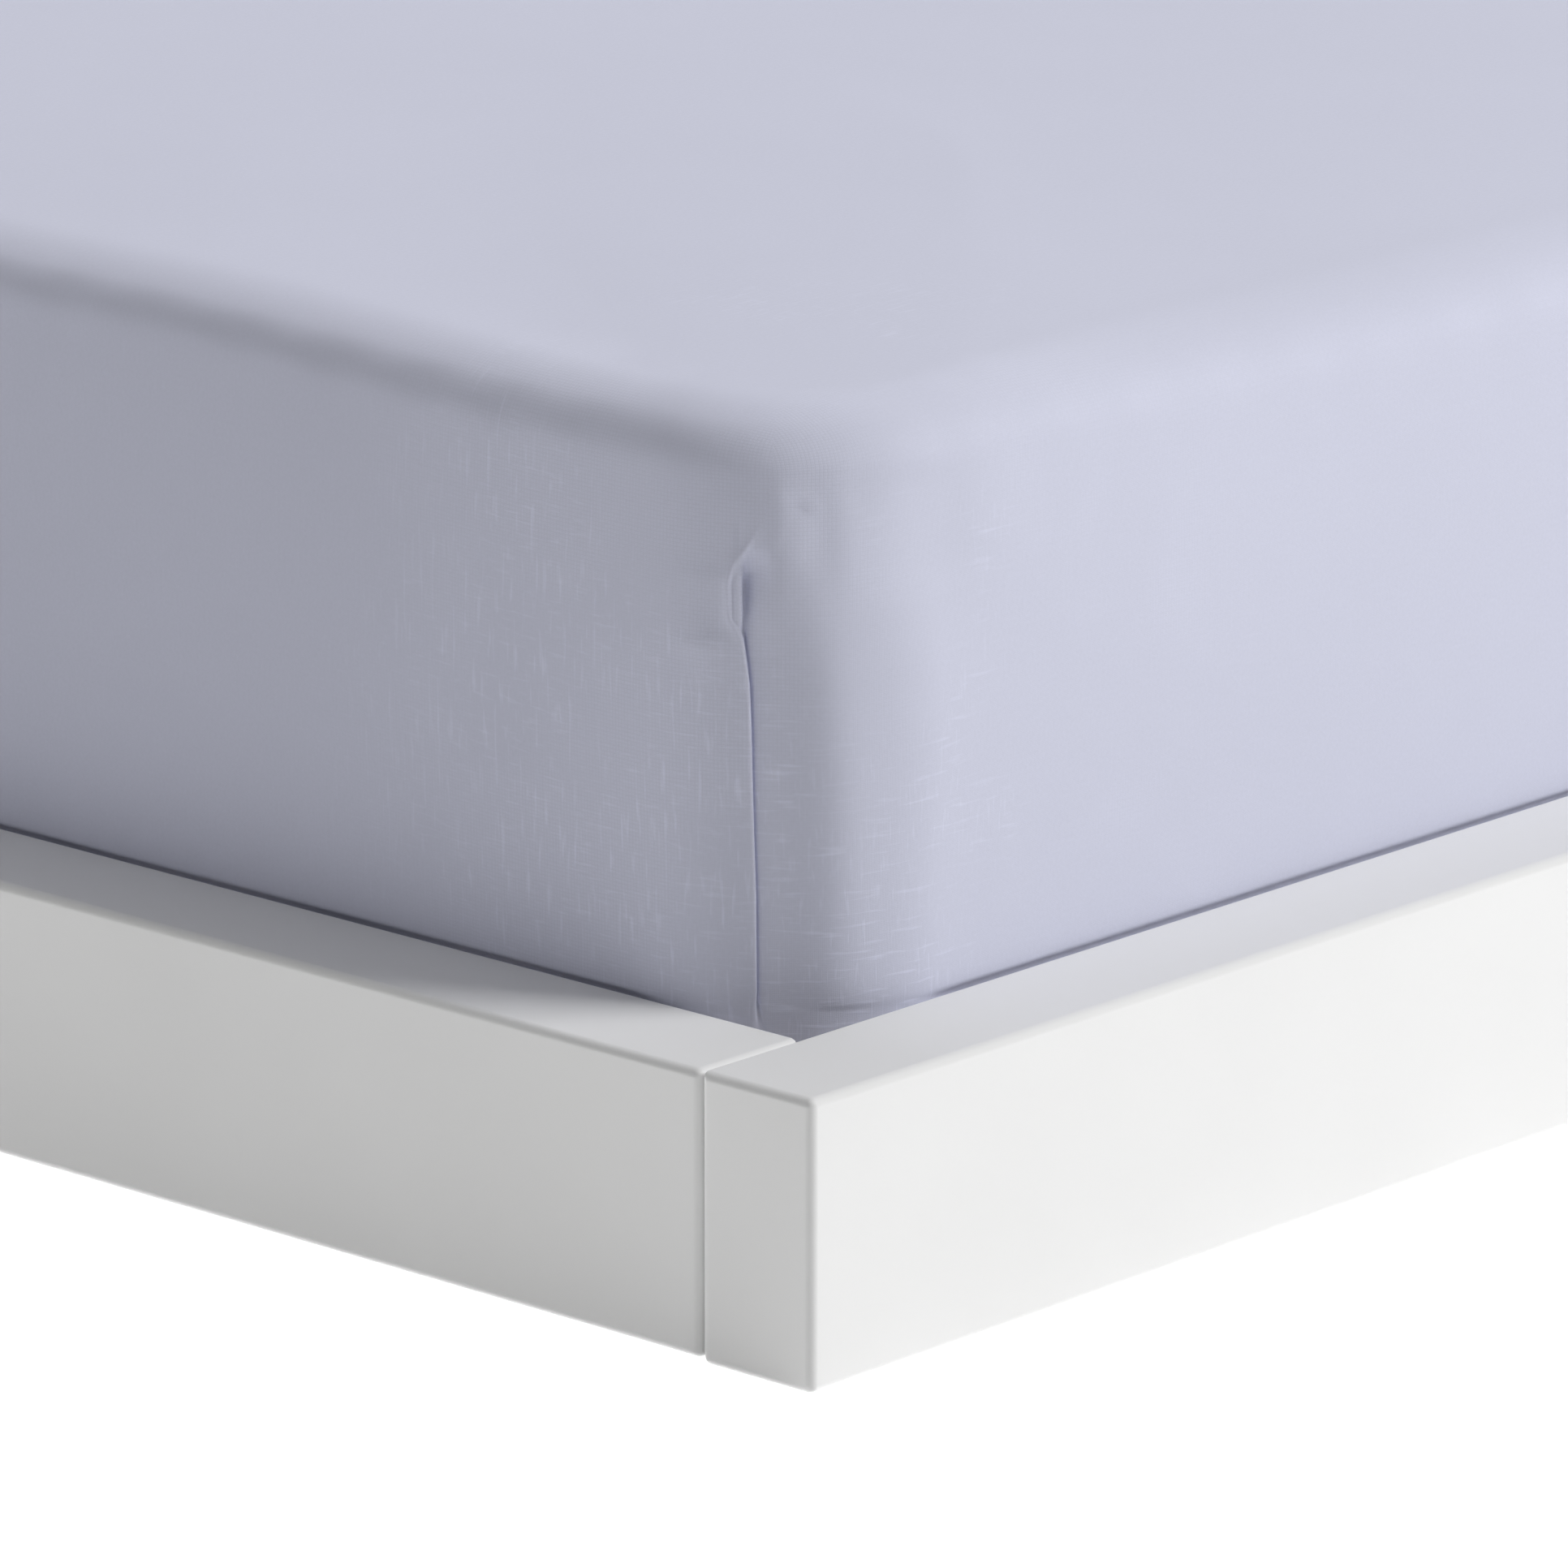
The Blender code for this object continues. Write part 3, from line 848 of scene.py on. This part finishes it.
def cotton_material(sizes):
    """Dyed plain-weave cotton, matt, with slubs that show in patches. The weave's height also
    paints shade between the yarns into its colour.
    """
    material, board, shader = new_material("sheet_cotton")
    cloth = board.node("ShaderNodeUVMap", uv_map="cloth").outputs[0]
    place = board.place()
    pitch = sizes.yarn_pitch
    fine = board.group(weave_group(), position=cloth, pitch=pitch)
    coarse = board.group(weave_group(), position=cloth, pitch=pitch * COARSE_PITCH)
    patches = [
        board.span(board.noise(board.vector("ADD", place, shift), scale), low, high)
        for shift, scale, low, high in LOOSE_PLACES
    ]
    near = near_corners(board, place, sizes)
    slub_patch, coarse_patch = (
        board.line(board.times(patch, near), 1.0 - LEFT_SHARE, LEFT_SHARE) for patch in patches
    )
    slub = board.times(fine["Slub"], slub_patch)
    basket = board.times(coarse["Height"], coarse_patch)
    cloud = board.noise(place, 5.0, 3.0, 0.6)
    yarn = board.noise(cloth, 700.0, 1.0)
    # The colour's brightness: the fine and coarse weave's height paint shade between the yarns and
    # light on their crowns, while slubs, cloud and yarn noise are the cloth's own uneven tone.
    light = 1.0
    for part, middle, weight in (
        (fine["Height"], 0.45, 0.05),
        (slub, 0.05, 0.10),
        (basket, 0.15, 0.06),
        (cloud, 0.5, 0.04),
        (yarn, 0.5, 0.06),
    ):
        light = board.sway(part, middle, weight, light)
    tone_and_yarn_shade = board.node(
        "ShaderNodeVectorMath", {0: tuple(sizes.colour), "Scale": light}, operation="SCALE"
    )
    rough = board.line(fine["Height"], -0.08, 0.90)
    thick = board.bump(board.line(basket, 0.55, slub), 0.00010, 0.45)
    woven = board.bump(fine["Height"], 0.00005, 0.45, thick)
    dress(board, shader, tone_and_yarn_shade.outputs[0], rough, woven)
    shader.inputs["Specular IOR Level"].default_value = 0.18
    shader.inputs["Sheen Weight"].default_value = 0.06
    shader.inputs["Sheen Roughness"].default_value = 0.6
    return material


def ticking_material(colour):
    """Mattress ticking: close weave, faint stripes along the length and quilted diamonds, with
    painted shade along the quilting seams.
    """
    material, board, shader = new_material("mattress_ticking")
    place = board.place()
    weave = board.group(weave_group(), position=place, pitch=TICKING_PITCH)
    across, along, _ = board.split(place)
    stripe = board.maths("SINE", board.times(across, math.tau / STRIPE_PITCH))
    stripe = board.span(stripe, 0.55, 0.75)
    falls = board.maths("ADD", across, along)
    climbs = board.maths("SUBTRACT", across, along)
    seams = [board.humps(seam, math.pi / QUILT_PITCH) for seam in (falls, climbs)]
    quilt = board.maths("MINIMUM", *(board.span(seam, 0.0, 0.30) for seam in seams))
    striped = (*(part * 0.86 for part in colour[:2]), colour[2] * 0.97, 1.0)
    striped = board.blend(board.times(stripe, 0.6), (*colour, 1.0), striped)
    # Painted shade: the colour turns grey-brown towards each quilting seam, where the padding dips.
    dark = board.line(quilt, -0.12, 0.12)
    shaded = board.blend(dark, striped, (0.35, 0.34, 0.32, 1.0))
    rough = board.line(weave["Height"], -0.1, 0.92)
    padded = board.bump(quilt, 0.004, 0.8)
    dress(board, shader, shaded, rough, board.bump(weave["Height"], 0.0001, 0.5, padded))
    return material


def lacquer_material(colour):
    """Satin lacquer sprayed on smooth board: a faint orange peel and uneven gloss."""
    material, board, shader = new_material("white_lacquer")
    place = board.place()
    peel = board.noise(place, 330.0, roughness=0.45)
    sweep = board.noise(place, 14.0)
    cloud = board.noise(place, 3.5, 3.0, 0.55)
    shade = board.sway(cloud, 0.5, 0.09, 0.06, clamp=True)
    warm = (colour[0] * 0.955, colour[1] * 0.95, colour[2] * 0.93, 1.0)
    tone = board.blend(shade, (*colour, 1.0), warm)
    relief = board.bump(board.line(sweep, 3.0, peel), 0.00006, 0.30)
    dress(board, shader, tone, board.line(sweep, 0.10, 0.42), relief)
    shader.inputs["Specular IOR Level"].default_value = 0.30
    return material


def grain_group():
    """Softwood: long growth lines, pores and a slow change of tone along one axis."""
    if "plank_grain" in bpy.data.node_groups:
        return bpy.data.node_groups["plank_grain"]
    tree, board, arriving, leaving = new_group(
        "plank_grain",
        (("Position", "NodeSocketVector"), ("Stretch", "NodeSocketVector")),
        (("Rings", "NodeSocketFloat"), ("Pores", "NodeSocketFloat"), ("Tone", "NodeSocketFloat")),
    )
    along = board.vector("MULTIPLY", arriving["Position"], arriving["Stretch"])
    warp = board.noise(along, 3.0)
    across, *others = board.split(along)
    height = board.maths("ADD", across, board.maths("ADD", *others))
    ringed = board.line(warp, 9.0, board.times(height, 4.0))
    board.feed(board.maths("POWER", board.humps(ringed, math.pi), 3.0), leaving["Rings"])
    board.feed(board.span(board.noise(along, 60.0, 3.0), 0.52, 0.72), leaving["Pores"])
    board.feed(board.noise(arriving["Position"], 2.6), leaving["Tone"])
    return tree


def wood_material(name, colours, stretch):
    """Planed, unvarnished softwood with the grain along the board."""
    material, board, shader = new_material(name)
    grain = board.group(grain_group(), position=board.place(), stretch=stretch)
    share = board.line(grain["Rings"], 0.55, 0.05)
    share = board.line(grain["Pores"], 0.18, share)
    share = board.sway(grain["Tone"], 0.5, 0.5, share, clamp=True)
    light, dark = ((*colour, 1.0) for colour in colours)
    rough = board.line(grain["Rings"], -0.12, 0.68)
    relief = board.maths("SUBTRACT", grain["Rings"], board.times(grain["Pores"], 0.7))
    relief = board.bump(relief, 0.0002, 0.35)
    dress(board, shader, board.blend(share, light, dark), rough, relief)
    return material


def floor_material(settings):
    """Pale matt floor, brightly lit: it glows a little, and looks as white as the backdrop."""
    material, board, shader = new_material("studio_floor")
    tone = board.line(board.noise(board.place(), 0.8), 0.02, 0.78)
    pale = board.node("ShaderNodeCombineColor", (tone, tone, tone))
    board.feed(pale.outputs[0], shader.inputs["Base Color"])
    shader.inputs["Roughness"].default_value = 1.0
    shader.inputs["Specular IOR Level"].default_value = 0.0
    shader.inputs["Emission Color"].default_value = (*settings.backdrop, 1.0)
    ray = board.node("ShaderNodeLightPath").outputs
    glow = board.line(ray["Is Glossy Ray"], settings.floor_gloss, settings.floor_glow)
    glow = board.line(ray["Is Camera Ray"], 0.9, glow)
    board.feed(glow, shader.inputs["Emission Strength"])
    material.cycles.emission_sampling = "NONE"
    return material


# --- Boards with rounded edges ---


SMOOTH_ANGLE = math.radians(40)  # edges sharper than this stay sharp
FLAT_WEIGHT = 100  # how much large faces outweigh small ones in the shading


def deselect_all():
    if bpy.context.object and bpy.context.object.mode != "OBJECT":
        bpy.ops.object.mode_set(mode="OBJECT")
    bpy.ops.object.select_all(action="DESELECT")


def add_board(name, low, high, arris, steps, softer=None, softer_share=1.0):
    """A straight board with rounded edges. Those that softer picks are rounded by a share of it."""
    low, high = Vector(low), Vector(high)
    deselect_all()
    bpy.ops.mesh.primitive_cube_add(size=1.0, location=(low + high) / 2, scale=high - low)
    board = bpy.context.object
    board.name = board.data.name = name
    bpy.ops.object.transform_apply(location=True, rotation=True, scale=True)
    weights = board.data.attributes.new("bevel_weight_edge", "FLOAT", "EDGE")
    middle = (low + high) / 2
    for edge in board.data.edges:
        start, end = (board.data.vertices[index].co for index in edge.vertices)
        picked = softer is not None and softer((start + end) / 2 - middle)
        weights.data[edge.index].value = softer_share if picked else 1.0
    bevel = board.modifiers.new("arris", "BEVEL")
    bevel.width = arris
    bevel.segments = steps
    bevel.limit_method = "WEIGHT"
    bevel.miter_outer = "MITER_ARC"
    bpy.ops.object.modifier_apply(modifier=bevel.name)
    bpy.ops.object.shade_smooth_by_angle(angle=SMOOTH_ANGLE)
    weighted = board.modifiers.new("flat_faces", "WEIGHTED_NORMAL")
    weighted.keep_sharp = True
    weighted.weight = FLAT_WEIGHT
    bpy.ops.object.modifier_apply(modifier=weighted.name)
    return board


def finish_piece(piece, material, slot, *nodes):
    """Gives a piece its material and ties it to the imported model."""
    piece.data.materials.clear()
    piece.data.materials.append(material)
    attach(piece, BODY)
    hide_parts(*nodes)


# --- Operators ---


class BED_OT_add_sheet(bpy.types.Operator):
    """Build the stretched sheet with its four corner darts"""

    bl_idname = "bed.add_sheet"
    bl_label = "Fitted sheet"

    def execute(self, context):
        sizes = context.scene.fitted_sheet
        form = SheetForm(sizes)
        rings, stations = form.rings(), form.stations()
        points, flats = [], []
        for ring in rings:
            for station in stations:
                point, flat = form.place(ring, station)
                other = station._replace(panel="end" if station.panel == "side" else "side")
                other_flat = form.place(ring, other)[1] if station.kind == "lap" else flat
                points.append(point)
                flats.append({station.panel: flat, other.panel: other_flat})
        faces, owners = ring_faces(len(rings), len(stations))
        panels = [stations[owner].panel for owner in owners]
        faces.append(tuple(range(len(stations))))
        panels.append("side")
        cotton = cotton_material(sizes)
        sheet = add_mesh("sheet_cotton_cloth", points, faces, cotton, flats, panels)
        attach(sheet, BODY)
        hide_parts("fitted_sheet")
        return {"FINISHED"}


class BED_OT_add_mattress(bpy.types.Operator):
    """Build the filled mattress that the sheet is stretched over"""

    bl_idname = "bed.add_mattress"
    bl_label = "Mattress"

    TURNS = tuple(math.radians(angle) for angle in range(0, 91, 9))
    TILTS = tuple(math.radians(angle) for angle in range(0, 91, 15))
    STRAIGHTS = 24
    # The top, as inset and share of the sheet's crown.
    TOP_ROWS = ((0.38, 0.8), (0.30, 0.8), (0.20, 0.65), (0.10, 0.3))
    SIDE_SHARES = (0.25, 0.5, 0.75)
    # The underside, as inset and height above its edge.
    UNDER_ROWS = ((0.06, 0.0), (0.16, 0.0008), (0.34, 0.0012))
    ABOVE_HEM = 0.0018
    LEAST_RADIUS = 0.02

    def execute(self, context):
        sizes = context.scene.fitted_sheet
        settings = context.scene.bed_mattress
        depth = settings.depth
        width, length = sizes.width / 2 - depth, sizes.length / 2 - depth
        top, bottom = sizes.top - depth, sizes.underside + self.ABOVE_HEM
        upper, lower = settings.edge_radius, sizes.lower_radius
        rows = [(inset, top + sizes.crown * share) for inset, share in self.TOP_ROWS]
        for tilt in self.TILTS:
            rows.append((upper * (1 - math.sin(tilt)), top - upper * (1 - math.cos(tilt))))
        rows += [(0.0, mix(top - upper, bottom + lower, share)) for share in self.SIDE_SHARES]
        for turn in self.TILTS:
            rows.append((lower * (1 - math.cos(turn)), bottom + lower * (1 - math.sin(turn))))
        rows += [(inset, bottom + rise) for inset, rise in self.UNDER_ROWS]
        points = []
        for inset, height in rows:
            radius = max(settings.corner_radius - inset, self.LEAST_RADIUS)
            points += self.outline(width - inset, length - inset, radius, height)
        count = len(points) // len(rows)
        faces, _ = ring_faces(len(rows), count)
        faces.append(tuple(range(count)))
        faces.append(tuple(reversed(range(len(points) - count, len(points)))))
        ticking = ticking_material(settings.colour)
        mattress = add_mesh("mattress_filled", points, faces, ticking)
        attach(mattress, BODY)
        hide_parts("mattress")
        return {"FINISHED"}

    def outline(self, half_width, half_length, radius, height):
        """One rounded rectangle, anticlockwise seen from above."""
        corners = []
        for corner in CORNERS:
            places = []
            for turn in self.TURNS if corner.from_side_face else reversed(self.TURNS):
                x = half_width - radius + radius * math.cos(turn)
                y = half_length - radius + radius * math.sin(turn)
                places.append(Vector((corner.x_side * x, corner.y_side * y, height)))
            corners.append(places)
        points = []
        for index, corner in enumerate(corners):
            following = corners[(index + 1) % 4]
            points += corner
            for step in range(1, self.STRAIGHTS):
                points.append(corner[-1].lerp(following[0], step / self.STRAIGHTS))
        return points


class BED_OT_add_rails(bpy.types.Operator):
    """Build the painted rails with their rounded edges"""

    bl_idname = "bed.add_rails"
    bl_label = "Rails"

    RAILS = (
        ("foot_rail", (0, 1)),
        ("head_rail", (0, -1)),
        ("side_rail_left", (1, 0)),
        ("side_rail_right", (-1, 0)),
    )
    ARRIS_STEPS = 6

    def execute(self, context):
        settings = context.scene.bed_frame
        paint = lacquer_material(settings.paint)
        for node, inward in self.RAILS:
            low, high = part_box(node)
            reach = min(high.x - low.x, high.y - low.y) / 4

            def beside_mattress(place):
                return place.z > 0 and place.x * inward[0] + place.y * inward[1] > reach

            rail = add_board(
                f"{node}_painted",
                low,
                high,
                settings.outer_arris,
                self.ARRIS_STEPS,
                beside_mattress,
                settings.inner_arris / settings.outer_arris,
            )
            finish_piece(rail, paint, "white_lacquer", node)
        return {"FINISHED"}


class BED_OT_add_slats(bpy.types.Operator):
    """Build the ledgers and the slats that carry the mattress"""

    bl_idname = "bed.add_slats"
    bl_label = "Slats and ledgers"

    ARRIS_STEPS = 3

    def execute(self, context):
        settings = context.scene.bed_frame
        colours = (settings.wood, settings.dark_wood)
        along, across = ALONG_GRAIN, ACROSS_GRAIN
        lengthways = wood_material("ledger_wood", colours, (across, along, across))
        crossways = wood_material("slat_wood", colours, (along, across, across))
        for node in ("ledger_left", "ledger_right"):
            low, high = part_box(node)
            ledger = add_board(f"{node}_board", low, high, settings.board_arris, self.ARRIS_STEPS)
            finish_piece(ledger, lengthways, "base_wood", node)
        low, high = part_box(SLAT_NAMES[0])
        pattern = add_board("slat_pattern", low, high, settings.board_arris, self.ARRIS_STEPS)
        for node in SLAT_NAMES:
            slat = pattern.copy()
            slat.data = pattern.data.copy()
            slat.name = slat.data.name = f"{node}_board"
            context.scene.collection.objects.link(slat)
            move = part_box(node)[0] - low
            for vertex in slat.data.vertices:
                vertex.co += move
            finish_piece(slat, crossways, "base_wood", node)
        bpy.data.objects.remove(pattern, do_unlink=True)
        return {"FINISHED"}


class BED_OT_add_stage(bpy.types.Operator):
    """Set up the floor, the lights, the surround and the camera"""

    bl_idname = "bed.add_stage"
    bl_label = "Studio"

    CAMERA_PLACE = (-3.2178, -3.5141, 1.2412)
    CAMERA_TURN = (74.48, 0.0, -47.66)
    AIM = Vector((-0.35, -0.85, 0.22))
    FLOOR_HEIGHT = -0.0002
    # Each light's azimuth and elevation in degrees, its distance and its size.
    LIGHTS = (
        ("key", 36.5, 40.0, 7.0, (2.8, 5.0)),
        ("fill", -95.0, 10.0, 6.0, (4.0, 4.0)),
        ("rear", -135.0, 40.0, 6.0, (4.0, 4.0)),
        ("back", 160.0, 40.0, 4.5, (3.0, 3.0)),
    )

    def execute(self, context):
        settings = context.scene.studio
        self.add_floor(settings)
        self.add_camera(context, settings)
        for name, *place in self.LIGHTS:
            self.add_light(f"{name}_light", getattr(settings, f"{name}_power"), *place)
        self.add_surround(context, settings)
        context.scene.view_settings.view_transform = "Standard"
        context.scene.view_settings.look = "None"
        return {"FINISHED"}

    def add_floor(self, settings):
        deselect_all()
        place = (0.0, 0.0, self.FLOOR_HEIGHT)
        bpy.ops.mesh.primitive_plane_add(size=settings.floor_size, location=place)
        floor = bpy.context.object
        floor.name = "studio_floor"
        bpy.ops.object.transform_apply(location=True, rotation=True, scale=True)
        floor.data.materials.append(floor_material(settings))

    def add_camera(self, context, settings):
        turn = tuple(math.radians(angle) for angle in self.CAMERA_TURN)
        bpy.ops.object.camera_add(location=self.CAMERA_PLACE, rotation=turn)
        camera = context.object
        camera.name = "camera"
        camera.data.sensor_width = 36.0
        camera.data.lens = settings.lens
        camera.data.clip_start = 0.05
        camera.data.clip_end = 60.0
        context.scene.camera = camera

    def add_light(self, name, power, azimuth, elevation, distance, size):
        """A soft panel aimed at the bed, its azimuth measured from the foot end towards +X."""
        around, up = math.radians(azimuth), math.radians(elevation)
        away = Vector(
            (math.sin(around) * math.cos(up), -math.cos(around) * math.cos(up), math.sin(up))
        )
        aimed = away.to_track_quat("Z", "Y").to_euler()
        location = self.AIM + away * distance
        bpy.ops.object.light_add(type="AREA", location=location, rotation=aimed)
        light = bpy.context.object
        light.name = name
        light.data.shape = "RECTANGLE"
        light.data.size, light.data.size_y = size
        light.data.energy = power
        light.visible_camera = False

    def add_surround(self, context, settings):
        """A backdrop that the camera sees and that throws no light on the bed."""
        world = bpy.data.worlds.new("studio_surround")
        context.scene.world = world
        world.use_nodes = True
        board = Board(world.node_tree)
        background = world.node_tree.nodes["Background"]
        background.inputs["Color"].default_value = (*settings.backdrop, 1.0)
        ray = board.node("ShaderNodeLightPath").outputs
        board.feed(ray["Is Camera Ray"], background.inputs["Strength"])


class VIEW3D_PT_bed(bpy.types.Panel):
    """Lists what builds the bed"""

    bl_label = "Fitted sheet on a bed"
    bl_space_type = "VIEW_3D"
    bl_region_type = "UI"
    bl_category = "Bed"

    def draw(self, context):
        for operator in OPERATORS:
            self.layout.operator(operator.bl_idname)
        for name, _ in SETTINGS:
            group = getattr(context.scene, name)
            box = self.layout.box()
            for key in group.__annotations__:
                box.prop(group, key)


OPERATORS = (
    BED_OT_add_sheet,
    BED_OT_add_mattress,
    BED_OT_add_rails,
    BED_OT_add_slats,
    BED_OT_add_stage,
)
SETTINGS = (
    ("fitted_sheet", SheetSettings),
    ("bed_mattress", MattressSettings),
    ("bed_frame", FrameSettings),
    ("studio", StudioSettings),
)
CLASSES = (*(group for _, group in SETTINGS), *OPERATORS, VIEW3D_PT_bed)


def register():
    for made in CLASSES:
        bpy.utils.register_class(made)
    for name, group in SETTINGS:
        setattr(bpy.types.Scene, name, PointerProperty(type=group))


def unregister():
    for name, _ in SETTINGS:
        delattr(bpy.types.Scene, name)
    for made in reversed(CLASSES):
        bpy.utils.unregister_class(made)


def main():
    register()
    bpy.ops.bed.add_sheet()
    bpy.ops.bed.add_mattress()
    bpy.ops.bed.add_rails()
    bpy.ops.bed.add_slats()
    bpy.ops.bed.add_stage()


if __name__ == "__main__":
    main()
